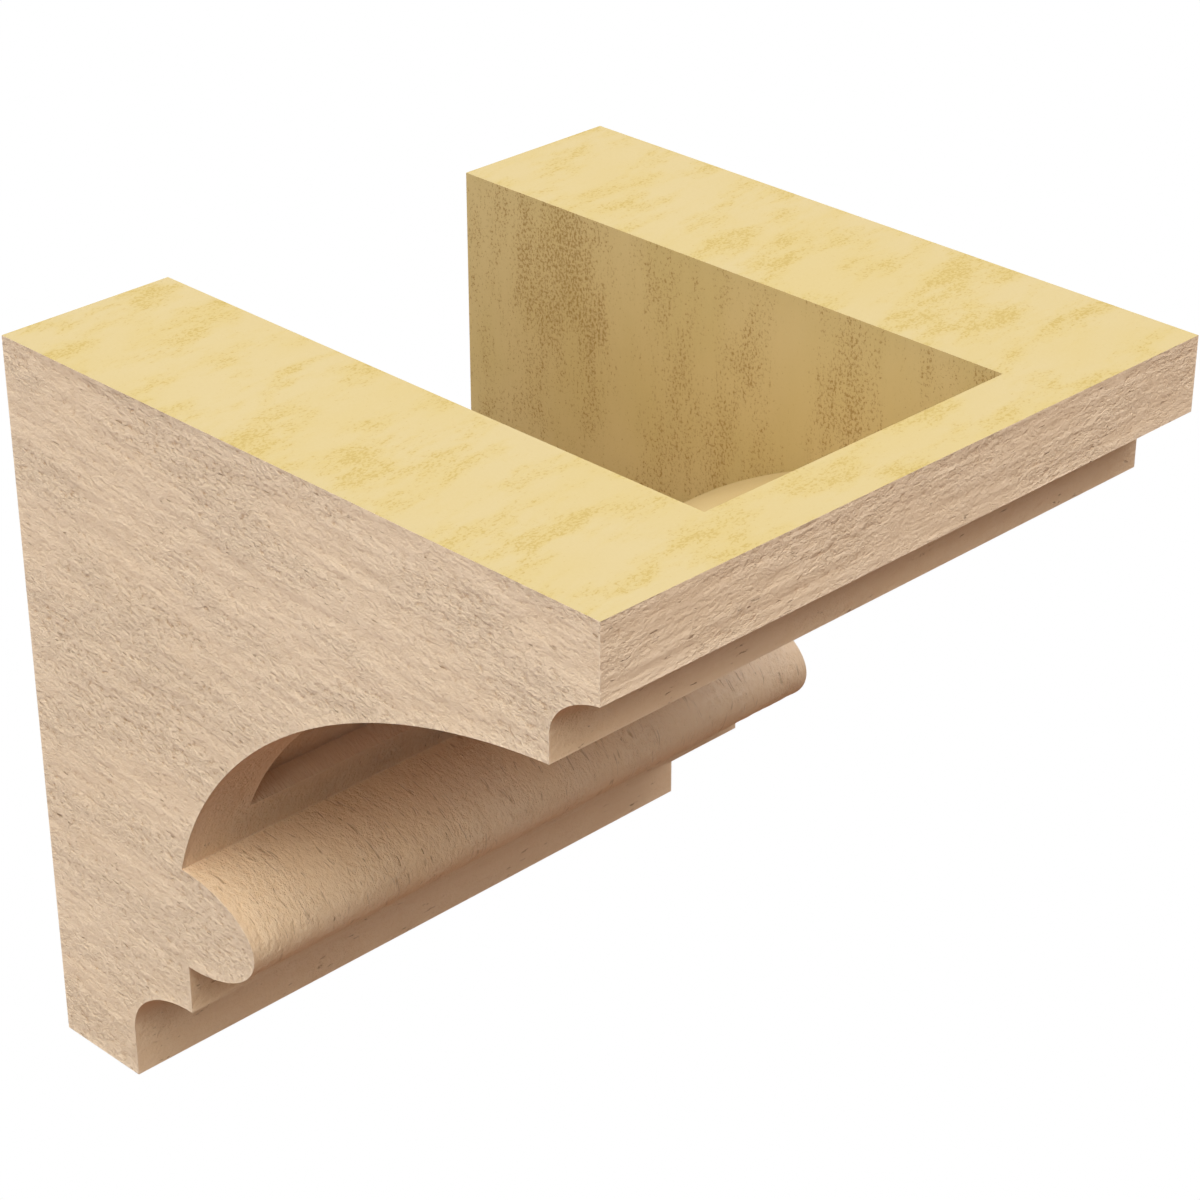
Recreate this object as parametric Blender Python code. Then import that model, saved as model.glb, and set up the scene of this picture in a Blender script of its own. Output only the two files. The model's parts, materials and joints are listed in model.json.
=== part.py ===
"""A moulded faux-timber corbel that hangs on a wall and carries a beam end or a shelf.

It is one casting of rigid foam. Its side profile runs unchanged across the whole width: a fascia
with a small cove below it, a long arch, a bead, a fillet and a foot with a second cove. A pocket
opens at the top and at the wall, and a shallow panel is sunk in the soffit of the arch.

The outlines are drawn in the side view as (out, drop): metres out from the wall, and metres down
from the top. In the part's frame the wall is the plane y = 0, the corbel reaches towards -Y, and
the origin lies on the wall in the middle of the solid band at the foot.
"""

from math import acos, asin, cos, hypot, pi, sin

import bmesh
import bpy
from mathutils import Matrix

# Overall size, 10 inches each way.
WIDTH = 0.254
PROJECTION = 0.254
HEIGHT = 0.254

# The tip below the fascia, and the cove that leads in to it.
TIP_OUT = 0.2350
FASCIA_COVE_BOTTOM = 0.0414
FASCIA_COVE_RADII = (0.0252, 0.01675)

# The arch is a stretch of this ellipse, from the tip down to the top of the bead.
ARCH_CENTRE = (0.2579, 0.1864)
ARCH_RADII = (0.1919, 0.1370)

# The bead, the fillet below it, and the foot with its cove.
BEAD_TOP = 0.1587
BEAD_BOTTOM = 0.1953
BEAD_PROUD = 0.0335
FILLET_BOTTOM = 0.2131
FOOT_TOP = 0.2355
FOOT_OUT = 0.0380

# The walls round the pocket, and the ellipse of its curved floor.
SIDE_WALL = 0.0635
FRONT_WALL = 0.0238
FOOT_BAND = 0.0635
POCKET_CENTRE = (0.2687, 0.1842)
POCKET_RADII = (0.2193, 0.1486)

# The panel sunk in the arch, and the border left at its sides and its two ends.
PANEL_SINK = 0.00825
PANEL_SIDE_BORDER = 0.0238
PANEL_END_BORDER = 0.0165

# Cutters reach this far past the face that they open.
OVERSHOOT = 0.004

# Straight pieces in each curve of the outlines.
ARCH_STEPS = 64
MOULDING_STEPS = 24
BEAD_STEPS = 36

# Points nearer than this are one point, and faces that meet at more than this angle form an arris.
WELD_DISTANCE = 1e-6
ARRIS_ANGLE = pi / 6

# A face lies square to an axis where that part of its normal is above this.
SQUARE_ON = 0.999

ORIGIN_DROP = HEIGHT - FOOT_BAND / 2
QUARTER_TURN = pi / 2

# Drawn axes in the part's frame: out is -Y, up is +Z, and the width runs along X.
SIDE_VIEW = Matrix(((0, 0, -1, 0), (-1, 0, 0, 0), (0, 1, 0, 0), (0, 0, 0, 1)))

PRIMED_TAN = (0.60, 0.46, 0.33, 1.0)
SKIN_ROUGHNESS = 0.75
RAW_FOAM = (0.83, 0.67, 0.34, 1.0)
FOAM_ROUGHNESS = 0.9


def clear_scene():
    for thing in list(bpy.data.objects):
        bpy.data.objects.remove(thing, do_unlink=True)


def new_collection(name):
    collection = bpy.data.collections.new(name)
    bpy.context.scene.collection.children.link(collection)
    return collection


def matte_material(name, colour, roughness):
    material = bpy.data.materials.new(name)
    material.use_nodes = True
    material.diffuse_color = colour
    shader = material.node_tree.nodes["Principled BSDF"]
    shader.inputs["Base Color"].default_value = colour
    shader.inputs["Roughness"].default_value = roughness
    shader.inputs["Metallic"].default_value = 0.0
    return material


def on_ellipse(centre, radii, angle, shift=0.0):
    """The point at this angle, moved by shift away from the centre, square to the curve.

    Angle 0 faces the wall, and a quarter turn faces up.
    """
    along = (-radii[1] * cos(angle), -radii[0] * sin(angle))
    scale = shift / hypot(*along)
    out = centre[0] - radii[0] * cos(angle) + along[0] * scale
    drop = centre[1] - radii[1] * sin(angle) + along[1] * scale
    return out, drop


def elliptical_arc(centre, radii, start, end, steps, shift=0.0):
    turn = (end - start) / steps
    return [on_ellipse(centre, radii, start + turn * i, shift) for i in range(steps + 1)]


def angle_at_out(centre, radii, out):
    return acos((centre[0] - out) / radii[0])


def angle_at_drop(centre, radii, drop):
    return asin((centre[1] - drop) / radii[1])


def angle_along(radii, angle, length):
    """The angle turned through by this length of curve that starts at angle. The length is signed."""
    pace = hypot(radii[0] * sin(angle), radii[1] * cos(angle))
    middle = angle + length / pace / 2
    return length / hypot(radii[0] * sin(middle), radii[1] * cos(middle))


def arch_ends():
    """The arch's angles at the tip and at the bead."""
    tip = angle_at_out(ARCH_CENTRE, ARCH_RADII, TIP_OUT)
    bead = angle_at_drop(ARCH_CENTRE, ARCH_RADII, BEAD_TOP)
    return tip, bead


def fascia_cove():
    centre = (TIP_OUT + FASCIA_COVE_RADII[0], FASCIA_COVE_BOTTOM)
    start = angle_at_out(centre, FASCIA_COVE_RADII, PROJECTION)
    return elliptical_arc(centre, FASCIA_COVE_RADII, start, 0, MOULDING_STEPS)


def arch():
    tip, bead = arch_ends()
    return elliptical_arc(ARCH_CENTRE, ARCH_RADII, tip, bead, ARCH_STEPS)


def bead(face_out):
    """A half ellipse that stands proud of the face, without its first point, which ends the arch."""
    centre = (face_out, (BEAD_TOP + BEAD_BOTTOM) / 2)
    radii = (BEAD_PROUD, (BEAD_BOTTOM - BEAD_TOP) / 2)
    return elliptical_arc(centre, radii, QUARTER_TURN, 3 * QUARTER_TURN, BEAD_STEPS)[1:]


def foot_cove(face_out):
    centre = (face_out, FOOT_TOP)
    radii = (face_out - FOOT_OUT, FOOT_TOP - FILLET_BOTTOM)
    return elliptical_arc(centre, radii, QUARTER_TURN, 0, MOULDING_STEPS)


def side_outline():
    arch_points = arch()
    face_out = arch_points[-1][0]
    top = [(0, 0), (PROJECTION, 0)]
    foot = [(FOOT_OUT, HEIGHT), (0, HEIGHT)]
    return top + fascia_cove() + arch_points + bead(face_out) + foot_cove(face_out) + foot


def pocket_outline():
    """The pocket's side view, open past the top and past the wall."""
    front = PROJECTION - FRONT_WALL
    start = angle_at_out(POCKET_CENTRE, POCKET_RADII, front)
    floor = elliptical_arc(POCKET_CENTRE, POCKET_RADII, start, 0, ARCH_STEPS)
    bottom = HEIGHT - FOOT_BAND
    back = [(floor[-1][0], bottom), (-OVERSHOOT, bottom), (-OVERSHOOT, -OVERSHOOT)]
    return [(front, -OVERSHOOT)] + floor + back


def panel_outline():
    """The slice between the arch's surface and the sunk face, square to the arch at both ends."""
    tip, bead_angle = arch_ends()
    start = tip + angle_along(ARCH_RADII, tip, -PANEL_END_BORDER)
    end = bead_angle + angle_along(ARCH_RADII, bead_angle, PANEL_END_BORDER)
    span = (ARCH_CENTRE, ARCH_RADII, start, end, ARCH_STEPS)
    outside = elliptical_arc(*span, shift=-OVERSHOOT)
    sunk_face = elliptical_arc(*span, shift=PANEL_SINK)
    return outside + sunk_face[::-1]


def flat_curve(name, outline, width):
    """The outline as a filled 2D curve, thickened to the width about the middle plane."""
    curve = bpy.data.curves.new(name, "CURVE")
    curve.dimensions = "2D"
    curve.fill_mode = "BOTH"
    curve.extrude = width / 2
    spline = curve.splines.new("POLY")
    spline.points.add(len(outline) - 1)
    for point, (out, drop) in zip(spline.points, outline):
        point.co = (out, ORIGIN_DROP - drop, 0, 1)
    spline.use_cyclic_u = True
    return curve


def extrusion(name, outline, width, material, collection):
    """A closed mesh object of the outline, as wide as given."""
    guide = bpy.data.objects.new(name + "_guide", flat_curve(name, outline, width))
    guide.matrix_world = SIDE_VIEW
    collection.objects.link(guide)
    graph = bpy.context.evaluated_depsgraph_get()
    mesh = bpy.data.meshes.new_from_object(guide.evaluated_get(graph))
    mesh.name = name
    weld(mesh)
    mesh.materials.clear()
    mesh.materials.append(material)
    solid = bpy.data.objects.new(name, mesh)
    solid.matrix_world = guide.matrix_world
    bpy.data.objects.remove(guide, do_unlink=True)
    collection.objects.link(solid)
    return solid


def weld(mesh):
    """Joins the curve's loose caps to its sides and turns every face outwards."""
    work = bmesh.new()
    work.from_mesh(mesh)
    bmesh.ops.remove_doubles(work, verts=work.verts, dist=WELD_DISTANCE)
    bmesh.ops.recalc_face_normals(work, faces=work.faces)
    work.to_mesh(mesh)
    work.free()


def face_with_foam(body, foam):
    """The top and the side to the wall are trimmed, so they show raw foam."""
    body.data.materials.append(foam)
    for face in body.data.polygons:
        normal = SIDE_VIEW.to_3x3() @ face.normal
        is_top = normal.z > SQUARE_ON and face.center.y > ORIGIN_DROP - OVERSHOOT
        is_wall_side = normal.y > SQUARE_ON
        if is_top or is_wall_side:
            face.material_index = 1


def cut(body, cutter):
    cutter.hide_render = True
    cutter.display_type = "WIRE"
    modifier = body.modifiers.new("cut_" + cutter.name, "BOOLEAN")
    modifier.operation = "DIFFERENCE"
    modifier.solver = "EXACT"
    modifier.material_mode = "TRANSFER"
    modifier.object = cutter


def build_corbel():
    parts = new_collection("corbel")
    cutters = new_collection("cutters")
    skin = matte_material("primed_skin", PRIMED_TAN, SKIN_ROUGHNESS)
    foam = matte_material("raw_foam", RAW_FOAM, FOAM_ROUGHNESS)

    body = extrusion("corbel_body", side_outline(), WIDTH, skin, parts)
    face_with_foam(body, foam)

    pocket_width = WIDTH - 2 * SIDE_WALL
    cut(body, extrusion("pocket", pocket_outline(), pocket_width, foam, cutters))
    panel_width = WIDTH - 2 * PANEL_SIDE_BORDER
    cut(body, extrusion("soffit_panel", panel_outline(), panel_width, skin, cutters))

    body.data.shade_smooth()
    body.data.set_sharp_from_angle(angle=ARRIS_ANGLE)


def main():
    clear_scene()
    build_corbel()


main()
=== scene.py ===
"""A moulded faux-timber corbel: a primed, rough-sawn skin on rigid foam, on a plain pale stage.

The corbel hangs on the wall plane y = 0 and reaches towards -Y. Outlines are drawn in the side view
as (out, drop): metres out from the wall, and metres down from the top.
"""

import json
from math import acos, asin, cos, hypot, pi, radians, sin

import bmesh
import bpy
import numpy as np
from bpy.props import FloatProperty, FloatVectorProperty, PointerProperty
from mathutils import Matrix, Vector, kdtree

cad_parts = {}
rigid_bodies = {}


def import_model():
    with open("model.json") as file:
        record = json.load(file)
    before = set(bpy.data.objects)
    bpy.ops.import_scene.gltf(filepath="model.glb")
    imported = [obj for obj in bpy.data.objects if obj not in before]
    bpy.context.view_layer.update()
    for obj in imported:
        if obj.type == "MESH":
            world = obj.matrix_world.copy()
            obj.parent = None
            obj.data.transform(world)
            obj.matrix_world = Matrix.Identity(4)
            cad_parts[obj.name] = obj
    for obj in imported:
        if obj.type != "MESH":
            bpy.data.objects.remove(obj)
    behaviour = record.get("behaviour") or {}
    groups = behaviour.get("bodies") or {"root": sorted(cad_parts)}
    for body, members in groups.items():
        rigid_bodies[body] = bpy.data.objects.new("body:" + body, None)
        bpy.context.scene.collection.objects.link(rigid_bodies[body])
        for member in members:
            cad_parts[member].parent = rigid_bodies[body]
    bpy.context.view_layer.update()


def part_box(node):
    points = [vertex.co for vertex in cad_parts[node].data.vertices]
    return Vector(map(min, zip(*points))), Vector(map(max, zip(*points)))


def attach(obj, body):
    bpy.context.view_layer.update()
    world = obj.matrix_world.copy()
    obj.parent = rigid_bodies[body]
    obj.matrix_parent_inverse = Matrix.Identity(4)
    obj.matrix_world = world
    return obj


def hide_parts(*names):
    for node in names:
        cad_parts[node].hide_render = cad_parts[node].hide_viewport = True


bl_info = {
    "name": "Moulded Corbel",
    "version": (1, 0, 0),
    "blender": (4, 5, 0),
    "location": "3D View > Sidebar > Corbel",
    "description": "Builds a moulded corbel with a rough-sawn skin, and a plain stage for it",
    "category": "Object",
}

for startup_object in list(bpy.data.objects):
    bpy.data.objects.remove(startup_object)

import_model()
SOLID = "corbel_body"
SOLID_LOW, SOLID_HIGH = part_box(SOLID)
SOLID_SIZE = SOLID_HIGH - SOLID_LOW

QUARTER_TURN = pi / 2
X_AXIS, Y_AXIS, Z_AXIS = range(3)

# Cutters reach this far past the face that they open.
OVERSHOOT = 0.004

# Points nearer than this are one point, and faces that meet at more than this angle form an arris.
WELD_DISTANCE = 1e-6
ARRIS_ANGLE = radians(30)

# A face looks sideways, or lies square to an axis, where that part of its normal is above these.
FACES_SIDEWAYS = 0.7
SQUARE_ON = 0.999

# The grid that carries the relief: its step across the grain and along it.
CELL_ACROSS = 0.00125
CELL_ALONG = 0.0021

# The materials' places on the mesh.
SKIN_INDEX = 0
FOAM_INDEX = 1

# Where the sockets for colours lie on a mix node.
MIX_FACTOR, MIX_FIRST, MIX_SECOND = 0, 6, 7
MIX_RESULT = 2

# The fine grain's pebbles, along the grain and across it.
PEBBLE_LENGTH = 0.0028
PEBBLE_WIDTH = 0.0021

# The relief's depth, how many times larger its pebbles are, and how near an arris it fades out.
RELIEF_DEPTH = 0.0006
RELIEF_SCALE = 2.6
ARRIS_MARGIN = 0.003

# Each pattern's length along the grain, its width across it, its detail and its roughness.
PATTERNS = {
    "relief rows": (0.06, 0.004, 0.5, 0.5),
    "relief swell": (0.03, 0.012, 0.0, 0.5),
    "patches": (0.045, 0.018, 1.0, 0.5),
    "grit": (0.0013, 0.0011, 2.0, 0.6),
    "rows": (0.045, 0.0024, 1.5, 0.5),
    "cracks": (0.0045, 0.0011, 2.0, 0.6),
    "cracked areas": (0.012, 0.008, 1.0, 0.5),
    "check lines": (0.020, 0.0026, 1.0, 0.5),
    "check lengths": (0.008, 0.003, 1.0, 0.5),
    "blotches": (0.09, 0.05, 3.0, 0.5),
    "ripe areas": (0.05, 0.03, 2.0, 0.5),
    "clouds": (0.030, 0.012, 4.0, 0.65),
    "flecks": (0.0013, 0.0009, 3.0, 0.7),
    "streaks": (0.080, 0.026, 6.0, 0.8),
    "specks": (0.0012, 0.0010, 3.0, 0.75),
    "pores": (0.0009, 0.0009, 2.0, 0.5),
}

# The detail and the roughness of the pebbles, in the relief and in the fine grain.
RELIEF_PEBBLES = (0.6, 0.5)
FINE_PEBBLES = (4.0, 0.68)

# Smooth steps: the values where each starts and ends, and what it gives there if not 0 and 1.
STEPS = {
    "relief": (0.32, 0.68),
    "patches": (0.38, 0.62, 0.6, 1.15),
    "pebbles": (0.24, 0.62),
    "cracks": (0.29, 0.35, 1.0, 0.0),
    "cracked areas": (0.52, 0.62),
    "check lines": (0.0, 0.042, 1.0, 0.0),
    "check lengths": (0.54, 0.66),
    "lit_crests": (0.0, 0.25, 0.0, 0.3),
    "shaded_troughs": (-0.03, -0.30, 0.0, 0.8),
    "blotches": (0.3, 0.7, 0.0, 0.2),
    "skin roughness": (-0.2, 0.2, 0.78, 0.6),
    "ripe areas": (0.35, 0.7, 0.0, 0.35),
    "clouds": (0.42, 0.70),
    "flecks": (0.62, 0.80),
    "streaks": (0.37, 0.68),
    "specks": (0.62, 0.76),
    "foam roughness": (0.3, 0.7, 0.8, 0.95),
    "sky": (0.32, 0.52),
    "ground": (-0.32, -0.52),
}

# The share of each pattern in the relief.
RELIEF_SHARES = {"pebbles": 0.5, "rows": 0.3, "swell": 0.2}

# How much each pattern raises or lowers the skin's fine grain.
PEBBLE_WEIGHT = 0.64
GRIT_WEIGHT = 0.7
PIT_WEIGHT = 0.5
CHECK_WEIGHT = 0.15

# How much the relief counts beside the fine grain, where the colour follows the height: the painted shade in
# the troughs and the painted light on the crests.
RELIEF_WEIGHT = 0.12

# How strongly each mark shows where its pattern is full: the painted shade in the skin's pits and checks, the
# painted highlight on the skin's arrises, the foam's clouds, flecks, streaks and specks, and the wear on the
# foam's arrises.
PIT_SHADE = 0.6
CHECK_SHADE = 0.7
SKIN_ARRIS_HIGHLIGHT = 0.3
CLOUD_STAIN = 0.75
FLECK_STAIN = 0.7
STREAK_STAIN = 0.1
SPECK_STAIN = 0.8
FOAM_WEAR = 0.25

# How much flecks gather in the clouds, and specks in the streaks.
FLECK_GATHERING = 0.22
SPECK_GATHERING = 0.18

# The painted highlight on the skin's arrises, and the wear on the foam's, reach this far from them.
SKIN_HIGHLIGHT_REACH = 0.0008
FOAM_WEAR_REACH = 0.0006

PORE_DEPTH = 0.0001
PORE_STRENGTH = 0.4
SKIN_SPECULAR = 0.35
FOAM_SPECULAR = 0.2

# Each surface's own layer of the patterns, how rough it is, and how strongly its long rows show.
SURFACES = {
    "coves": (0.2, 0.3, 0.15),
    "arch": (0.0, 0.5, 0.15),
    "bead": (0.0, 0.5, 0.0),
    "fascia": (0.4, 0.55, 0.5),
    "left cheek": (0.8, 0.95, 0.4),
    "right cheek": (1.2, 0.95, 0.4),
    "pocket floor": (1.6, 0.0, 0.0),
    "top": (2.0, 0.0, 0.0),
    "pocket walls": (3.1, 0.0, 0.0),
}
CHEEK_GRAIN_TILT = radians(4)
FLECK_TILT = radians(8)

# Each lamp's bearing from +X, its height in the sky, how wide it is, and its colour.
LAMPS = {
    "key": (radians(270), radians(58), radians(50), (0.90, 0.91, 0.94)),
    "fill": (radians(225), radians(50), radians(50), (0.86, 1.0, 0.92)),
    "side": (radians(185), radians(28), radians(50), (0.97, 1.0, 0.86)),
    "level": (radians(186), radians(-8), radians(60), (0.60, 0.74, 1.0)),
    "rim": (radians(0), radians(50), radians(30), (0.56, 0.75, 1.0)),
    "back": (radians(80), radians(6), radians(60), (1.0, 0.98, 0.95)),
}
FLOOR_REACH = 8.0
WHITE = (1.0, 1.0, 1.0, 1.0)
BLACK = (0.0, 0.0, 0.0, 1.0)

# The camera's place and heading, its lens and sensor in millimetres, and its rise in sensor widths.
CAMERA_PLACE = (-0.65080, -0.77777, 0.62608)
CAMERA_HEADING = (0.6124, 0.6124, -0.5)
CAMERA_LENS = 99.88
CAMERA_SENSOR = 36.0
CAMERA_RISE = 0.086


def length_property(name, description, default):
    return FloatProperty(
        name=name, description=description, default=default, min=0.0, unit="LENGTH", precision=5
    )


def pair_property(name, description, default):
    return FloatVectorProperty(
        name=name, description=description, default=default, size=2, unit="LENGTH", precision=5
    )


def colour_property(name, description, default):
    return FloatVectorProperty(
        name=name, description=description, default=default, size=3, min=0.0, max=1.0, subtype="COLOR"
    )


def strength_property(name, description, default):
    return FloatProperty(name=name, description=description, default=default, min=0.0)


class CorbelSizes(bpy.types.PropertyGroup):
    """The sizes of the corbel, as (out from the wall, down from the top) where there are two."""

    width: length_property("Width", "Across the wall", SOLID_SIZE.x)
    projection: length_property("Projection", "From the wall to the face of the fascia", SOLID_SIZE.y)
    height: length_property("Height", "From the foot to the top", SOLID_SIZE.z)
    tip_out: length_property("Tip", "From the wall to the tip below the fascia", 0.2350)
    fascia_cove_bottom: length_property("Fascia Cove", "From the top to the bottom of its cove", 0.0414)
    fascia_cove_radii: pair_property("Fascia Cove Radii", "Radii of the fascia's cove", (0.0252, 0.01675))
    arch_centre: pair_property("Arch Centre", "Centre of the arch's ellipse", (0.2579, 0.1864))
    arch_radii: pair_property("Arch Radii", "Radii of the arch's ellipse", (0.1919, 0.1370))
    bead_top: length_property("Bead Top", "From the top to the top of the bead", 0.1587)
    bead_bottom: length_property("Bead Bottom", "From the top to the underside of the bead", 0.1953)
    bead_proud: length_property("Bead Proud", "How far the bead stands out from the face", 0.0335)
    fillet_bottom: length_property("Fillet Bottom", "From the top to the bottom of the fillet", 0.2131)
    foot_top: length_property("Foot Top", "From the top to the bottom of the foot's cove", 0.2355)
    foot_out: length_property("Foot Out", "From the wall to the face of the foot", 0.0380)
    side_wall: length_property("Side Wall", "Foam left on each side of the pocket", 0.0635)
    front_wall: length_property("Front Wall", "Foam left in front of the pocket", 0.0238)
    foot_band: length_property("Foot Band", "Foam left below the pocket at the wall", 0.0635)
    pocket_centre: pair_property("Pocket Centre", "Centre of the pocket's curved floor", (0.2687, 0.1842))
    pocket_radii: pair_property("Pocket Radii", "Radii of the pocket's curved floor", (0.2193, 0.1486))
    panel_sink: length_property("Panel Sink", "How deep the panel is sunk in the arch", 0.00825)
    panel_side_border: length_property("Panel Side Border", "Arch left at each side of the panel", 0.0238)
    panel_end_border: length_property("Panel End Border", "Arch left at each end of the panel", 0.0165)


class CorbelFinish(bpy.types.PropertyGroup):
    """The finish of the skin and of the trimmed foam, with painted light and shade in some of its colours."""

    relief_depth: length_property("Relief Depth", "How deep the sawn relief goes into the skin", RELIEF_DEPTH)
    grain_depth: length_property("Grain Depth", "How deep the fine grain goes", 0.0008)
    pebble_length: length_property("Pebble Length", "Length of the pebbles along the grain", PEBBLE_LENGTH)
    pebble_width: length_property("Pebble Width", "Width of the pebbles across the grain", PEBBLE_WIDTH)
    skin: colour_property("Skin", "Primer on the body of the skin", (0.755, 0.55, 0.38))
    # Painted shade: a warmer, less blue copy of the skin for the mouldings and the arch, standing in for warm
    # light bounced into these shaded recesses.
    moulding_shade: colour_property("Moulding", "Primer on the mouldings and the arch", (0.775, 0.538, 0.34))
    # Painted light on the relief's crests and on the skin's arrises; the same pale colour also gives the
    # skin's random blotches.
    crest_light_and_tone: colour_property("Crest", "Primer where the relief stands high", (0.85, 0.66, 0.50))
    # Painted shade in the relief's troughs.
    trough_shade: colour_property("Trough", "Primer where the relief lies low", (0.585, 0.36, 0.215))
    # Painted shade in the skin's pits and short cracks.
    pit_shade: colour_property("Pit", "The skin's pits and short cracks", (0.31, 0.155, 0.075))
    foam: colour_property("Foam", "Trimmed foam", (0.49, 0.384, 0.217))
    # Painted light: a lighter copy of the foam, in the pocket and on the side at the wall.
    lit_pocket_foam: colour_property("Wall Foam", "Foam in the pocket and at the wall", (0.60, 0.445, 0.235))
    ripe_foam: colour_property("Ripe Foam", "Foam where its colour is deeper", (0.48, 0.355, 0.135))
    fleck: colour_property("Fleck", "Flecks on the top of the foam", (0.37, 0.25, 0.065))
    scorch: colour_property("Scorch", "Specks on the walls of the pocket", (0.24, 0.115, 0.03))


class CorbelStage(bpy.types.PropertyGroup):
    """The floor and the light round the corbel."""

    floor_drop: length_property("Floor Drop", "From the foot of the corbel to the floor", 0.9)
    key: strength_property("Key", "Light from high in front", 2.08)
    fill: strength_property("Fill", "Light from the upper left", 0.6)
    side: strength_property("Side", "Warm light on the left cheek", 0.98)
    level: strength_property("Level", "Cool, level light from the left", 1.15)
    rim: strength_property("Rim", "Cool light from the upper right", 1.1)
    back: strength_property("Back", "Level light from behind, into the pocket", 1.6)
    sky: colour_property("Sky", "Soft light from above", (0.84, 0.80, 0.68))
    ground: colour_property("Ground", "Soft light from below", (0.41, 0.21, 0.095))


# Outlines.


def on_ellipse(centre, radii, angle, shift=0.0):
    """The point at this angle, moved by shift away from the centre, square to the curve.

    Angle 0 faces the wall, and a quarter turn faces up.
    """
    along = (-radii[1] * cos(angle), -radii[0] * sin(angle))
    scale = shift / hypot(*along)
    out = centre[0] - radii[0] * cos(angle) + along[0] * scale
    drop = centre[1] - radii[1] * sin(angle) + along[1] * scale
    return out, drop


def arc(centre, radii, start, end, shift=0.0):
    """Points about a cell apart along an elliptical arc."""
    length = abs(end - start) * (radii[0] + radii[1]) / 2
    steps = round(length / CELL_ACROSS)
    turn = (end - start) / steps
    return [on_ellipse(centre, radii, start + turn * i, shift) for i in range(steps + 1)]


def straight(start, end):
    """Points about a cell apart between two points, which are left out."""
    steps = round(hypot(end[0] - start[0], end[1] - start[1]) / CELL_ACROSS)
    parts = [i / steps for i in range(1, steps)]
    return [(start[0] + (end[0] - start[0]) * t, start[1] + (end[1] - start[1]) * t) for t in parts]


def angle_at_out(centre, radii, out):
    return acos((centre[0] - out) / radii[0])


def angle_at_drop(centre, radii, drop):
    return asin((centre[1] - drop) / radii[1])


def angle_along(radii, angle, length):
    """The angle turned through by this length of curve that starts at angle. The length is signed."""
    pace = hypot(radii[0] * sin(angle), radii[1] * cos(angle))
    middle = angle + length / pace / 2
    return length / hypot(radii[0] * sin(middle), radii[1] * cos(middle))


def arch_ends(sizes):
    tip = angle_at_out(sizes.arch_centre, sizes.arch_radii, sizes.tip_out)
    bead = angle_at_drop(sizes.arch_centre, sizes.arch_radii, sizes.bead_top)
    return tip, bead


def skin_outline(sizes):
    """The mouldings from the top arris of the fascia down and round to the wall."""
    cove_radii = sizes.fascia_cove_radii
    cove_centre = (sizes.tip_out + cove_radii[0], sizes.fascia_cove_bottom)
    cove_start = angle_at_out(cove_centre, cove_radii, sizes.projection)
    fascia_cove = arc(cove_centre, cove_radii, cove_start, 0)

    arch = arc(sizes.arch_centre, sizes.arch_radii, *arch_ends(sizes))
    face_out = arch[-1][0]

    bead_centre = (face_out, (sizes.bead_top + sizes.bead_bottom) / 2)
    bead_radii = (sizes.bead_proud, (sizes.bead_bottom - sizes.bead_top) / 2)
    bead = arc(bead_centre, bead_radii, QUARTER_TURN, 3 * QUARTER_TURN)[1:]

    foot_centre = (face_out, sizes.foot_top)
    foot_radii = (face_out - sizes.foot_out, sizes.foot_top - sizes.fillet_bottom)
    foot_cove = arc(foot_centre, foot_radii, QUARTER_TURN, 0)

    top_arris = (sizes.projection, 0)
    toe = (sizes.foot_out, sizes.height)
    heel = (0, sizes.height)
    outline = [top_arris] + straight(top_arris, fascia_cove[0]) + fascia_cove
    outline += straight(fascia_cove[-1], arch[0]) + arch + bead
    outline += straight(bead[-1], foot_cove[0]) + foot_cove
    outline += straight(foot_cove[-1], toe) + [toe] + straight(toe, heel) + [heel]
    return outline


def pocket_outline(sizes):
    """The pocket's side view, open past the top and past the wall."""
    front = sizes.projection - sizes.front_wall
    start = angle_at_out(sizes.pocket_centre, sizes.pocket_radii, front)
    floor = arc(sizes.pocket_centre, sizes.pocket_radii, start, 0)
    bottom = sizes.height - sizes.foot_band
    back = [(floor[-1][0], bottom), (-OVERSHOOT, bottom), (-OVERSHOOT, -OVERSHOOT)]
    return [(front, -OVERSHOOT)] + floor + back


def panel_outline(sizes):
    """The slice between the arch's surface and the sunk face, square to the arch at both ends."""
    tip, bead = arch_ends(sizes)
    start = tip + angle_along(sizes.arch_radii, tip, -sizes.panel_end_border)
    end = bead + angle_along(sizes.arch_radii, bead, sizes.panel_end_border)
    span = (sizes.arch_centre, sizes.arch_radii, start, end)
    return arc(*span, shift=-OVERSHOOT) + arc(*span, shift=sizes.panel_sink)[::-1]


# The solid form.


def prism(name, outline, width, material):
    """A closed mesh object of the outline, as wide as given about the middle plane."""
    work = bmesh.new()
    left, right = (
        [work.verts.new((x, -out, SOLID_HIGH.z - drop)) for out, drop in outline]
        for x in (-width / 2, width / 2)
    )
    work.faces.new(left)
    work.faces.new(right[::-1])
    for i in range(len(outline)):
        work.faces.new((left[i - 1], right[i - 1], right[i], left[i]))
    bmesh.ops.recalc_face_normals(work, faces=work.faces)
    return mesh_object(name, work, [material])


def mesh_object(name, work, materials):
    mesh = bpy.data.meshes.new(name)
    work.to_mesh(mesh)
    work.free()
    for material in materials:
        mesh.materials.append(material)
    made = bpy.data.objects.new(name, mesh)
    bpy.context.scene.collection.objects.link(made)
    return made


def face_with_foam(body, foam):
    """The top and the side to the wall are trimmed, so they show raw foam."""
    body.data.materials.append(foam)
    for face in body.data.polygons:
        is_top = face.normal.z > SQUARE_ON and face.center.z > SOLID_HIGH.z - WELD_DISTANCE
        is_wall_side = face.normal.y > SQUARE_ON
        if is_top or is_wall_side:
            face.material_index = FOAM_INDEX


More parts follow.
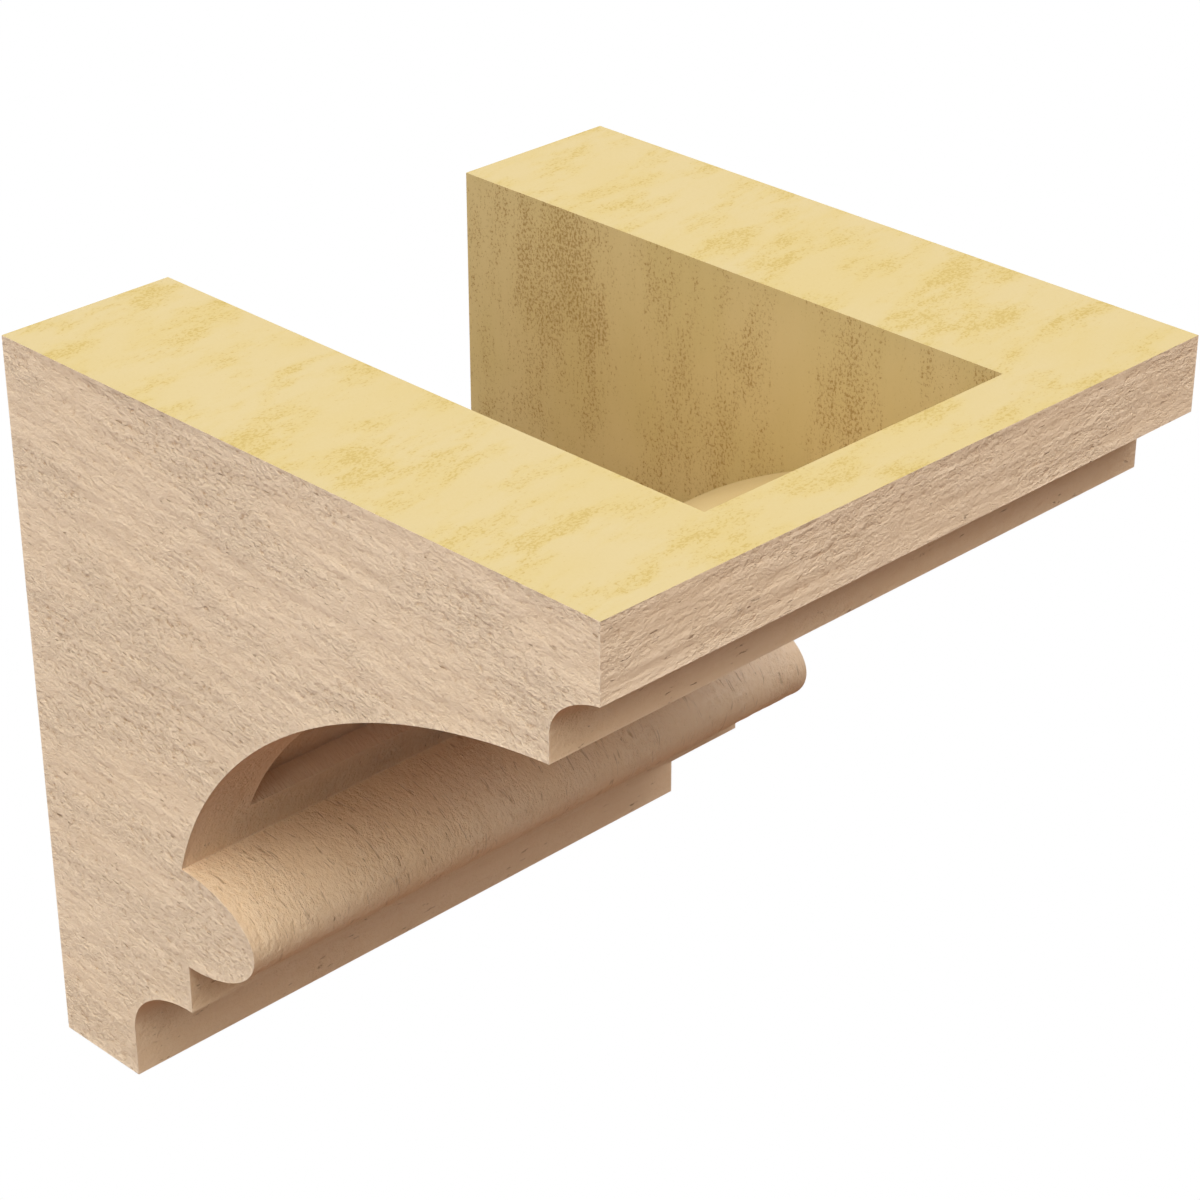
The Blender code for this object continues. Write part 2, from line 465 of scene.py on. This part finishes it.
def cut(body, cutter):
    modifier = body.modifiers.new("cut_" + cutter.name, "BOOLEAN")
    modifier.operation = "DIFFERENCE"
    modifier.solver = "EXACT"
    modifier.material_mode = "TRANSFER"
    modifier.object = cutter


def evaluated_mesh(thing):
    graph = bpy.context.evaluated_depsgraph_get()
    return bpy.data.meshes.new_from_object(
        thing.evaluated_get(graph), preserve_all_data_layers=True, depsgraph=graph
    )


def carved_form(sizes, skin, foam):
    """The corbel's mesh with its pocket and its sunk panel, before any relief."""
    outline = [(0, 0)] + skin_outline(sizes)
    body = prism("form", outline, sizes.width, skin)
    face_with_foam(body, foam)
    cutters = [
        prism("pocket", pocket_outline(sizes), sizes.width - 2 * sizes.side_wall, foam),
        prism("panel", panel_outline(sizes), sizes.width - 2 * sizes.panel_side_border, skin),
    ]
    for cutter in cutters:
        cut(body, cutter)
    mesh = evaluated_mesh(body)
    for thing in [body] + cutters:
        bpy.data.meshes.remove(thing.data)
    return mesh


# The grid that carries the relief.


def span_along(face, axis):
    places = [corner.co[axis] for corner in face.verts]
    return min(places), max(places)


def slice_faces(work, faces, axis, step):
    """Cuts the faces by planes square to the axis, a step apart, in one sweep from low to high."""
    square = Vector([float(i == axis) for i in range(3)])
    spans = {face: span_along(face, axis) for face in faces}
    low = min(span[0] for span in spans.values())
    high = max(span[1] for span in spans.values())
    count = round((high - low) / step)
    for i in range(1, count):
        place = low + (high - low) * i / count
        crossed = [
            face for face, span in spans.items()
            if span[0] < place - WELD_DISTANCE and span[1] > place + WELD_DISTANCE
        ]
        if not crossed:
            continue
        edges = {edge for face in crossed for edge in face.edges}
        corners = {corner for face in crossed for corner in face.verts}
        for face in crossed:
            del spans[face]
        halves = bmesh.ops.bisect_plane(
            work, geom=[*crossed, *edges, *corners], dist=WELD_DISTANCE,
            plane_co=square * place, plane_no=square,
        )
        for piece in halves["geom"]:
            if isinstance(piece, bmesh.types.BMFace):
                span = span_along(piece, axis)
                if span[1] > place + WELD_DISTANCE:
                    spans[piece] = span


def skin_faces(work, sideways):
    return [
        face for face in work.faces
        if face.material_index == SKIN_INDEX and (abs(face.normal.x) > FACES_SIDEWAYS) == sideways
    ]


def gridded(mesh):
    """The carved form with its skin cut into a fine grid, and its arrises marked sharp."""
    work = bmesh.new()
    work.from_mesh(mesh)
    bmesh.ops.remove_doubles(work, verts=work.verts, dist=WELD_DISTANCE)
    slice_faces(work, skin_faces(work, sideways=False), X_AXIS, CELL_ALONG)
    slice_faces(work, skin_faces(work, sideways=True), Z_AXIS, CELL_ACROSS)
    slice_faces(work, skin_faces(work, sideways=True), Y_AXIS, CELL_ALONG)
    work.to_mesh(mesh)
    work.free()
    mesh.shade_smooth()
    mesh.set_sharp_from_angle(angle=ARRIS_ANGLE)


# Where the grain runs.


def measured(outline):
    """The outline's points as (y, z), with the length of outline before each."""
    points = np.array([(-out, SOLID_HIGH.z - drop) for out, drop in outline])
    steps = np.linalg.norm(np.diff(points, axis=0), axis=1)
    return points, np.concatenate([[0.0], np.cumsum(steps)])


def length_round(corners, outline):
    """How far round the outline each corner lies, for corners on it or a little inside it."""
    points, lengths = measured(outline)
    tree = kdtree.KDTree(len(points))
    for i, (y, z) in enumerate(points):
        tree.insert((0.0, y, z), i)
    tree.balance()
    nearest = np.array([tree.find((0.0, y, z))[1] for _, y, z in corners])
    before = np.clip(nearest - 1, 0, None)
    after = np.clip(nearest + 1, None, len(points) - 1)
    heading = points[after] - points[before]
    heading /= np.linalg.norm(heading, axis=1)[:, None]
    return lengths[nearest] + ((corners[:, 1:] - points[nearest]) * heading).sum(axis=1)


def turned(first, second, angle):
    return first * cos(angle) + second * sin(angle), second * cos(angle) - first * sin(angle)


def surface_faces(mesh, sizes):
    """A mask over the faces for each surface. A later surface takes its faces from the ones before it."""
    normal = np.array([face.normal for face in mesh.polygons])
    centre = np.array([face.center for face in mesh.polygons])
    foam = np.array([face.material_index == FOAM_INDEX for face in mesh.polygons])
    drop = SOLID_HIGH.z - centre[:, 2]
    tip, _ = arch_ends(sizes)
    _, tip_drop = on_ellipse(sizes.arch_centre, sizes.arch_radii, tip)

    left = (centre[:, 0] < SOLID_LOW.x + CELL_ACROSS) & (normal[:, 0] < -FACES_SIDEWAYS)
    right = (centre[:, 0] > SOLID_HIGH.x - CELL_ACROSS) & (normal[:, 0] > FACES_SIDEWAYS)
    bead = (drop > sizes.bead_top) & (drop < sizes.bead_bottom) & ~left & ~right & ~foam
    top = foam & (normal[:, 2] > SQUARE_ON) & (centre[:, 2] > SOLID_HIGH.z - CELL_ACROSS)
    upright = foam & (abs(normal[:, 2]) < 1 - SQUARE_ON)
    wall_side = upright & (centre[:, 1] > SOLID_HIGH.y - CELL_ACROSS)
    upright &= wall_side | (normal[:, 1] < SQUARE_ON) | (drop < sizes.pocket_centre[1])
    return {
        "coves": np.ones(len(centre), bool),
        "arch": (drop > tip_drop) & (drop < sizes.bead_top),
        "bead": bead,
        "fascia": (normal[:, 1] < -SQUARE_ON) & (centre[:, 1] < SOLID_LOW.y + CELL_ACROSS),
        "left cheek": left,
        "right cheek": right,
        "pocket floor": foam,
        "top": top,
        "pocket walls": upright,
        "wall side": wall_side,
    }


def lay_grain(mesh, sizes):
    """Stores each corner's place along the grain, across it, and in a layer of its own for each surface."""
    faces = surface_faces(mesh, sizes)
    corners = np.empty(len(mesh.vertices) * 3)
    mesh.vertices.foreach_get("co", corners)
    corners = corners.reshape(-1, 3)
    corner_of_loop = np.empty(len(mesh.loops), int)
    mesh.loops.foreach_get("vertex_index", corner_of_loop)
    face_of_loop = np.repeat(np.arange(len(mesh.polygons)), [face.loop_total for face in mesh.polygons])

    place = corners[corner_of_loop]
    x, y, z = place.T
    round_outline = length_round(corners, skin_outline(sizes))[corner_of_loop]
    down_the_cheek = turned(-y, -z, CHEEK_GRAIN_TILT)
    directions = {
        "coves": (x, round_outline),
        "arch": (y - z, x),
        "bead": (round_outline, x),
        "fascia": (x, z),
        "left cheek": down_the_cheek,
        "right cheek": down_the_cheek,
        "pocket floor": (x, y + z),
        "top": turned(x, y, FLECK_TILT),
        "pocket walls": (z, x + y),
    }
    grain = np.zeros_like(place)
    rough = np.zeros(len(mesh.polygons))
    rowed = np.zeros(len(mesh.polygons))
    for name, (along, across) in directions.items():
        layer, rough[faces[name]], rowed[faces[name]] = SURFACES[name]
        chosen = faces[name][face_of_loop]
        grain[chosen] = np.stack((along, across, np.full_like(x, layer)), axis=1)[chosen]

    mesh.attributes.new("grain", "FLOAT_VECTOR", "CORNER").data.foreach_set(
        "vector", grain.astype(np.float32).ravel()
    )
    amounts = {
        "rough": rough,
        "rowed": rowed,
        # Faces that take the painted warm shade of the mouldings: all but the fascia and the cheeks.
        "moulded": ~faces["fascia"] & ~faces["left cheek"] & ~faces["right cheek"],
        "checked": faces["bead"],
        "flecked": faces["top"],
        "specked": faces["pocket walls"] & ~faces["wall side"],
    }
    for name, amount in amounts.items():
        values = amount.astype(np.float32)
        mesh.attributes.new(name, "FLOAT", "FACE").data.foreach_set("value", values)
    mesh.attributes.new("foam", "BOOLEAN", "FACE").data.foreach_set("value", faces["pocket floor"])


# Node building.


class Wiring:
    """Adds nodes to one tree. A call that adds one returns its output socket, for the next call to take."""

    def __init__(self, tree):
        self.tree = tree

    def add(self, kind, inputs=None, output=0, **settings):
        made = self.tree.nodes.new(kind)
        for name, value in settings.items():
            setattr(made, name, value)
        for key, value in (inputs or {}).items():
            self.feed(made.inputs[key], value)
        return made.outputs[output]

    def feed(self, socket, value):
        if isinstance(value, bpy.types.NodeSocket):
            self.tree.links.new(value, socket)
        else:
            socket.default_value = value

    def maths(self, operation, first, second=0.0, third=0.0):
        return self.add("ShaderNodeMath", {0: first, 1: second, 2: third}, operation=operation)

    def ramp(self, value, low, high, to_low=0.0, to_high=1.0):
        """A smooth step from to_low at low to to_high at high."""
        inputs = {"Value": value, "From Min": low, "From Max": high, "To Min": to_low, "To Max": to_high}
        return self.add("ShaderNodeMapRange", inputs, interpolation_type="SMOOTHSTEP")

    def mix(self, factor, first, second):
        inputs = {MIX_FACTOR: factor, MIX_FIRST: first, MIX_SECOND: second}
        return self.add("ShaderNodeMix", inputs, output=MIX_RESULT, data_type="RGBA")

    def stain_and_painted_light(self, colour, amount, share, stain_and_painted_light):
        """The colour, with this share of a stain, a painted shade or a painted highlight mixed in where the
        amount is full.
        """
        return self.mix(self.maths("MULTIPLY", amount, share), colour, opaque(stain_and_painted_light))

    def attribute(self, name, output="Fac"):
        return self.add("ShaderNodeAttribute", output=output, attribute_name=name)


def opaque(colour):
    return (*colour, 1.0)


def new_group(name, tree_type, inputs, outputs):
    """A node group with these sockets.

    Returns it, its wiring, its input sockets by name and its output node.
    """
    group = bpy.data.node_groups.new(name, tree_type)
    for socket_name, (kind, default) in inputs.items():
        socket = group.interface.new_socket(socket_name, in_out="INPUT", socket_type=kind)
        if default is not None:
            socket.default_value = default
    for socket_name, kind in outputs.items():
        group.interface.new_socket(socket_name, in_out="OUTPUT", socket_type=kind)
    entry = group.nodes.new("NodeGroupInput")
    return group, Wiring(group), entry.outputs, group.nodes.new("NodeGroupOutput")


def grain_noise_group(tree_type):
    """Noise drawn out along the grain."""
    inputs = {
        "Grain": ("NodeSocketVector", None),
        "Length": ("NodeSocketFloat", PEBBLE_LENGTH),
        "Width": ("NodeSocketFloat", PEBBLE_WIDTH),
        "Detail": ("NodeSocketFloat", None),
        "Roughness": ("NodeSocketFloat", None),
    }
    group, wiring, given, result = new_group(
        "grain_noise_" + tree_type, tree_type, inputs, {"Value": "NodeSocketFloat"}
    )
    size = wiring.add("ShaderNodeCombineXYZ", {0: given["Length"], 1: given["Width"], 2: given["Width"]})
    place = wiring.add("ShaderNodeVectorMath", {0: given["Grain"], 1: size}, operation="DIVIDE")
    noise = wiring.add(
        "ShaderNodeTexNoise",
        {"Vector": place, "Scale": 1.0, "Detail": given["Detail"], "Roughness": given["Roughness"]},
    )
    wiring.feed(result.inputs["Value"], noise)
    return group


def grain_pattern(wiring, group, grain, length, width, detail, roughness):
    """Noise drawn out along the grain, from the group made for this kind of tree."""
    kind = group.bl_idname.replace("NodeTree", "NodeGroup")
    inputs = {"Grain": grain, "Length": length, "Width": width, "Detail": detail, "Roughness": roughness}
    return wiring.add(kind, inputs, node_tree=group)


# The sawn relief.


def relief_tree():
    inputs = {
        "Geometry": ("NodeSocketGeometry", None),
        "Depth": ("NodeSocketFloat", RELIEF_DEPTH),
        "Arris Margin": ("NodeSocketFloat", ARRIS_MARGIN),
        "Pebble Length": ("NodeSocketFloat", RELIEF_SCALE * PEBBLE_LENGTH),
        "Pebble Width": ("NodeSocketFloat", RELIEF_SCALE * PEBBLE_WIDTH),
        "Skin": ("NodeSocketMaterial", None),
        "Foam": ("NodeSocketMaterial", None),
    }
    tree, wiring, given, result = new_group(
        "sawn_relief", "GeometryNodeTree", inputs, {"Geometry": "NodeSocketGeometry"}
    )
    group = grain_noise_group("GeometryNodeTree")
    grain = wiring.add("GeometryNodeInputNamedAttribute", {"Name": "grain"}, data_type="FLOAT_VECTOR")
    foam = wiring.add("GeometryNodeInputNamedAttribute", {"Name": "foam"}, data_type="BOOLEAN")
    rough = wiring.add("GeometryNodeInputNamedAttribute", {"Name": "rough"}, data_type="FLOAT")

    bend = wiring.add("GeometryNodeInputMeshEdgeAngle")
    is_arris = wiring.maths("GREATER_THAN", bend, ARRIS_ANGLE)
    arrises = wiring.add(
        "GeometryNodeSeparateGeometry", {"Geometry": given["Geometry"], "Selection": is_arris}, domain="EDGE"
    )
    distance = wiring.add("GeometryNodeProximity", {0: arrises}, output="Distance", target_element="EDGES")
    clear_of_arris = wiring.ramp(distance, 0.0, given["Arris Margin"])

    pebble_size = (given["Pebble Length"], given["Pebble Width"])
    pebbles = grain_pattern(wiring, group, grain, *pebble_size, *RELIEF_PEBBLES)
    rows = grain_pattern(wiring, group, grain, *PATTERNS["relief rows"])
    swell = grain_pattern(wiring, group, grain, *PATTERNS["relief swell"])
    height = wiring.maths("MULTIPLY", pebbles, RELIEF_SHARES["pebbles"])
    height = wiring.maths("MULTIPLY_ADD", rows, RELIEF_SHARES["rows"], height)
    height = wiring.maths("MULTIPLY_ADD", swell, RELIEF_SHARES["swell"], height)
    height = wiring.ramp(height, *STEPS["relief"])
    sunk = wiring.maths("MULTIPLY", wiring.maths("SUBTRACT", 1.0, height), clear_of_arris)
    sunk = wiring.maths("MULTIPLY", sunk, rough)
    depth = wiring.maths("MULTIPLY", sunk, given["Depth"])
    normal = wiring.add("GeometryNodeInputNormal")
    offset = wiring.add(
        "ShaderNodeVectorMath",
        {0: normal, "Scale": wiring.maths("MULTIPLY", depth, -1.0)},
        operation="SCALE",
    )
    is_skin = wiring.add("FunctionNodeBooleanMath", {0: foam}, operation="NOT")
    carved = wiring.add(
        "GeometryNodeSetPosition", {"Geometry": given["Geometry"], "Selection": is_skin, "Offset": offset}
    )
    for name, value in (("arris", distance), ("sunk", sunk)):
        carved = wiring.add(
            "GeometryNodeStoreNamedAttribute",
            {"Geometry": carved, "Name": name, "Value": value},
            data_type="FLOAT", domain="POINT",
        )
    whole = wiring.add("GeometryNodeRealizeInstances", {0: carved})
    skinned = wiring.add("GeometryNodeSetMaterial", {"Geometry": whole, "Material": given["Skin"]})
    dressed = wiring.add(
        "GeometryNodeSetMaterial", {"Geometry": skinned, "Selection": foam, "Material": given["Foam"]}
    )
    wiring.feed(result.inputs["Geometry"], dressed)
    return tree


def set_inputs(modifier, values):
    sockets = modifier.node_group.interface.items_tree
    names = {socket.name: socket.identifier for socket in sockets if socket.in_out == "INPUT"}
    for name, value in values.items():
        modifier[names[name]] = value


# Materials.


def new_material(name):
    material = bpy.data.materials.new(name)
    material.use_nodes = True
    return material, Wiring(material.node_tree), material.node_tree.nodes["Principled BSDF"].inputs


def arris_highlight_and_wear_group():
    """How near a point is to an arris: 1 on it and 0 a reach away."""
    inputs = {"Reach": ("NodeSocketFloat", SKIN_HIGHLIGHT_REACH)}
    group, wiring, given, result = new_group(
        "arris_wear", "ShaderNodeTree", inputs, {"Value": "NodeSocketFloat"}
    )
    distance = wiring.attribute("arris")
    wiring.feed(result.inputs["Value"], wiring.ramp(distance, 0.0, given["Reach"], 1.0, 0.0))
    return group


def skin_material(finish, grain_noise, arris_wear):
    """Primed faux timber: pebbles drawn out along the grain, long rows, short pits and fine checks. Its
    colour paints shade in the troughs, pits and checks, a warm shade on the mouldings, and light on the
    crests and the arrises.
    """
    material, wiring, surface = new_material("rough_sawn_primer")
    grain = wiring.attribute("grain", "Vector")
    rough = wiring.attribute("rough")

    def pattern(name):
        return grain_pattern(wiring, grain_noise, grain, *PATTERNS[name])

    def stepped(name):
        return wiring.ramp(pattern(name), *STEPS[name])

    def centred(value, gain=1.0):
        return wiring.maths("MULTIPLY", wiring.maths("SUBTRACT", value, 0.5), gain)

    pebble_size = (finish.pebble_length, finish.pebble_width)
    pebbles = grain_pattern(wiring, grain_noise, grain, *pebble_size, *FINE_PEBBLES)
    pebbles = centred(wiring.ramp(pebbles, *STEPS["pebbles"]), PEBBLE_WEIGHT)
    grit = centred(pattern("grit"), GRIT_WEIGHT)
    rows = wiring.maths("MULTIPLY", centred(pattern("rows")), wiring.attribute("rowed"))
    height = wiring.maths("MULTIPLY", wiring.maths("ADD", pebbles, grit), stepped("patches"))
    height = wiring.maths("ADD", wiring.maths("MULTIPLY", height, rough), rows)

    pits = wiring.maths("MULTIPLY", stepped("cracks"), stepped("cracked areas"))
    off_line = wiring.maths("ABSOLUTE", centred(pattern("check lines")))
    checks = wiring.ramp(off_line, *STEPS["check lines"])
    checks = wiring.maths("MULTIPLY", checks, stepped("check lengths"))
    checks = wiring.maths("MULTIPLY", checks, wiring.attribute("checked"))
    dished = wiring.maths("SUBTRACT", height, wiring.maths("MULTIPLY", pits, PIT_WEIGHT))
    dished = wiring.maths("SUBTRACT", dished, wiring.maths("MULTIPLY", checks, CHECK_WEIGHT))
    # The checks join the pits in the painted shade.
    pits = wiring.maths("MAXIMUM", pits, wiring.maths("MULTIPLY", checks, CHECK_SHADE))
    normal = wiring.add("ShaderNodeBump", {"Distance": finish.grain_depth, "Height": dished})

    stand = wiring.maths("SUBTRACT", height, centred(wiring.attribute("sunk"), RELIEF_WEIGHT))
    # Painted shade: the mouldings and the arch take a warmer copy of the skin, for the light bounced into
    # these recesses.
    colour = wiring.mix(wiring.attribute("moulded"), opaque(finish.skin), opaque(finish.moulding_shade))
    # Partly the primer's own tone, partly painted light on the crests and painted shade in the troughs.
    colour = wiring.mix(wiring.ramp(stand, *STEPS["lit_crests"]), colour, opaque(finish.crest_light_and_tone))
    colour = wiring.mix(wiring.ramp(stand, *STEPS["shaded_troughs"]), colour, opaque(finish.trough_shade))
    colour = wiring.mix(stepped("blotches"), colour, opaque(finish.crest_light_and_tone))
    # Painted shade in the pits and checks.
    colour = wiring.stain_and_painted_light(colour, pits, PIT_SHADE, finish.pit_shade)
    # Painted highlight: the skin is lighter along its arrises.
    edge_highlight_and_wear = wiring.add("ShaderNodeGroup", {"Reach": SKIN_HIGHLIGHT_REACH}, node_tree=arris_wear)
    colour = wiring.stain_and_painted_light(colour, edge_highlight_and_wear, SKIN_ARRIS_HIGHLIGHT, finish.crest_light_and_tone)

    wiring.feed(surface["Base Color"], colour)
    wiring.feed(surface["Normal"], normal)
    wiring.feed(surface["Roughness"], wiring.ramp(height, *STEPS["skin roughness"]))
    surface["Specular IOR Level"].default_value = SKIN_SPECULAR
    return material


def foam_material(finish, grain_noise, arris_wear):
    """Trimmed rigid foam: flecks in clouds on the top, and dark specks down the pocket's walls. The foam in
    the pocket and at the wall is a lighter copy of the top's, which is painted light.
    """
    material, wiring, surface = new_material("trimmed_foam")
    grain = wiring.attribute("grain", "Vector")
    flecked = wiring.attribute("flecked")
    specked = wiring.attribute("specked")

    def pattern(name):
        return grain_pattern(wiring, grain_noise, grain, *PATTERNS[name])

    def stepped(name):
        return wiring.ramp(pattern(name), *STEPS[name])

    def gathered(name, places, gathering):
        """The pattern's marks, which are more where there are clouds or streaks."""
        marks = wiring.maths("MULTIPLY_ADD", places, gathering, pattern(name))
        return wiring.ramp(marks, *STEPS[name])

    # Painted light: the foam off the top is a lighter copy, in the pocket and at the wall.
    colour = wiring.mix(flecked, opaque(finish.lit_pocket_foam), opaque(finish.foam))
    colour = wiring.mix(stepped("ripe areas"), colour, opaque(finish.ripe_foam))

    clouds = wiring.maths("MULTIPLY", stepped("clouds"), flecked)
    flecks = wiring.maths("MULTIPLY", gathered("flecks", clouds, FLECK_GATHERING), flecked)
    colour = wiring.stain_and_painted_light(colour, clouds, CLOUD_STAIN, finish.ripe_foam)
    colour = wiring.stain_and_painted_light(colour, flecks, FLECK_STAIN, finish.fleck)

    streaks = wiring.maths("MULTIPLY", stepped("streaks"), specked)
    specks = wiring.maths("MULTIPLY", gathered("specks", streaks, SPECK_GATHERING), specked)
    colour = wiring.stain_and_painted_light(colour, streaks, STREAK_STAIN, finish.scorch)
    colour = wiring.stain_and_painted_light(colour, specks, SPECK_STAIN, finish.scorch)

    # Wear: the foam takes its deeper colour along its arrises.
    edge_highlight_and_wear = wiring.add("ShaderNodeGroup", {"Reach": FOAM_WEAR_REACH}, node_tree=arris_wear)
    colour = wiring.stain_and_painted_light(colour, edge_highlight_and_wear, FOAM_WEAR, finish.ripe_foam)
    pores = pattern("pores")
    bump = {"Strength": PORE_STRENGTH, "Distance": PORE_DEPTH, "Height": pores}
    normal = wiring.add("ShaderNodeBump", bump)
    wiring.feed(surface["Base Color"], colour)
    wiring.feed(surface["Normal"], normal)
    wiring.feed(surface["Roughness"], wiring.ramp(pores, *STEPS["foam roughness"]))
    surface["Specular IOR Level"].default_value = FOAM_SPECULAR
    return material


# The stage.


def soft_lamp(name, strength):
    """A wide lamp, far away, that shines from its own bearing and height in the sky."""
    bearing, height, spread, colour = LAMPS[name]
    data = bpy.data.lights.new(name, "SUN")
    data.energy = strength
    data.angle = spread
    data.color = colour
    lamp = bpy.data.objects.new(name, data)
    towards = Vector((cos(bearing) * cos(height), sin(bearing) * cos(height), sin(height)))
    lamp.rotation_euler = (-towards).to_track_quat("-Z", "Y").to_euler()
    bpy.context.scene.collection.objects.link(lamp)


def pale_floor(height):
    """A large floor, plain white to the camera, that neither stops nor throws back light."""
    work = bmesh.new()
    bmesh.ops.create_grid(work, x_segments=1, y_segments=1, size=FLOOR_REACH)
    bmesh.ops.translate(work, verts=work.verts, vec=(0, 0, height))
    material = bpy.data.materials.new("pale_floor")
    material.use_nodes = True
    tree = material.node_tree
    tree.nodes.clear()
    wiring = Wiring(tree)
    white = wiring.add("ShaderNodeEmission", {"Color": WHITE, "Strength": 1.0})
    finished = tree.nodes.new("ShaderNodeOutputMaterial")
    wiring.feed(finished.inputs["Surface"], white)
    floor = mesh_object("floor", work, [material])
    floor.visible_diffuse = False
    floor.visible_glossy = False
    floor.visible_shadow = False


def studio_world(stage):
    """White to the camera. The corbel gets soft light from above and a little from below."""
    world = bpy.data.worlds.new("studio")
    bpy.context.scene.world = world
    world.use_nodes = True
    world.node_tree.nodes.clear()
    wiring = Wiring(world.node_tree)
    direction = wiring.add("ShaderNodeTexCoord", output="Generated")
    height = wiring.add("ShaderNodeSeparateXYZ", {0: direction}, output="Z")
    light = wiring.mix(wiring.ramp(height, *STEPS["sky"]), BLACK, opaque(stage.sky))
    light = wiring.mix(wiring.ramp(height, *STEPS["ground"]), light, opaque(stage.ground))
    soft = wiring.add("ShaderNodeBackground", {"Color": light, "Strength": 1.0})
    white = wiring.add("ShaderNodeBackground", {"Color": WHITE, "Strength": 1.0})
    seen = wiring.add("ShaderNodeLightPath", output="Is Camera Ray")
    shown = wiring.add("ShaderNodeMixShader", {0: seen, 1: soft, 2: white})
    finished = world.node_tree.nodes.new("ShaderNodeOutputWorld")
    wiring.feed(finished.inputs["Surface"], shown)


def photo_camera():
    data = bpy.data.cameras.new("camera")
    data.lens = CAMERA_LENS
    data.sensor_width = CAMERA_SENSOR
    data.shift_y = CAMERA_RISE
    camera = bpy.data.objects.new("camera", data)
    camera.location = CAMERA_PLACE
    camera.rotation_euler = Vector(CAMERA_HEADING).to_track_quat("-Z", "Y").to_euler()
    bpy.context.scene.collection.objects.link(camera)
    bpy.context.scene.camera = camera


class CORBEL_OT_build(bpy.types.Operator):
    """Builds the corbel with its rough-sawn skin and its trimmed foam"""

    bl_idname = "corbel.build"
    bl_label = "Build Corbel"

    def execute(self, context):
        sizes = context.scene.corbel_sizes
        finish = context.scene.corbel_finish
        grain_noise = grain_noise_group("ShaderNodeTree")
        arris_wear = arris_highlight_and_wear_group()
        skin = skin_material(finish, grain_noise, arris_wear)
        foam = foam_material(finish, grain_noise, arris_wear)

        mesh = carved_form(sizes, skin, foam)
        gridded(mesh)
        lay_grain(mesh, sizes)
        form = bpy.data.objects.new("sliced_form", mesh)
        context.scene.collection.objects.link(form)
        relief = form.modifiers.new("sawn_relief", "NODES")
        relief.node_group = relief_tree()
        set_inputs(relief, {
            "Depth": finish.relief_depth,
            "Arris Margin": ARRIS_MARGIN,
            "Pebble Length": RELIEF_SCALE * finish.pebble_length,
            "Pebble Width": RELIEF_SCALE * finish.pebble_width,
            "Skin": skin,
            "Foam": foam,
        })
        carved = evaluated_mesh(form)
        bpy.data.objects.remove(form)
        bpy.data.meshes.remove(mesh)
        carved.name = "corbel"
        corbel = bpy.data.objects.new("corbel", carved)
        context.scene.collection.objects.link(corbel)
        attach(corbel, "root")
        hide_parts(SOLID)
        return {"FINISHED"}


class CORBEL_OT_stage(bpy.types.Operator):
    """Sets a plain pale floor, soft studio light and the camera round the corbel"""

    bl_idname = "corbel.stage"
    bl_label = "Set Stage"

    def execute(self, context):
        stage = context.scene.corbel_stage
        pale_floor(SOLID_LOW.z - stage.floor_drop)
        studio_world(stage)
        for name in LAMPS:
            soft_lamp(name, getattr(stage, name))
        photo_camera()
        context.scene.view_settings.view_transform = "Standard"
        return {"FINISHED"}


class CORBEL_PT_panel(bpy.types.Panel):
    """Lists the corbel's sizes, finish and stage in the sidebar"""

    bl_idname = "CORBEL_PT_panel"
    bl_label = "Corbel"
    bl_space_type = "VIEW_3D"
    bl_region_type = "UI"
    bl_category = "Corbel"

    def draw(self, context):
        scene = context.scene
        for group in (scene.corbel_sizes, scene.corbel_finish, scene.corbel_stage):
            box = self.layout.box()
            for name in group.__annotations__:
                box.prop(group, name)
        for operator in OPERATORS:
            self.layout.operator(operator.bl_idname)


SETTINGS = {"corbel_sizes": CorbelSizes, "corbel_finish": CorbelFinish, "corbel_stage": CorbelStage}
OPERATORS = (CORBEL_OT_build, CORBEL_OT_stage)


def register():
    for kind in (*SETTINGS.values(), *OPERATORS, CORBEL_PT_panel):
        bpy.utils.register_class(kind)
    for name, kind in SETTINGS.items():
        setattr(bpy.types.Scene, name, PointerProperty(type=kind))


def unregister():
    for name in SETTINGS:
        delattr(bpy.types.Scene, name)
    for kind in reversed((*SETTINGS.values(), *OPERATORS, CORBEL_PT_panel)):
        bpy.utils.unregister_class(kind)


def main():
    register()
    bpy.ops.corbel.build()
    bpy.ops.corbel.stage()


if __name__ == "__main__":
    main()
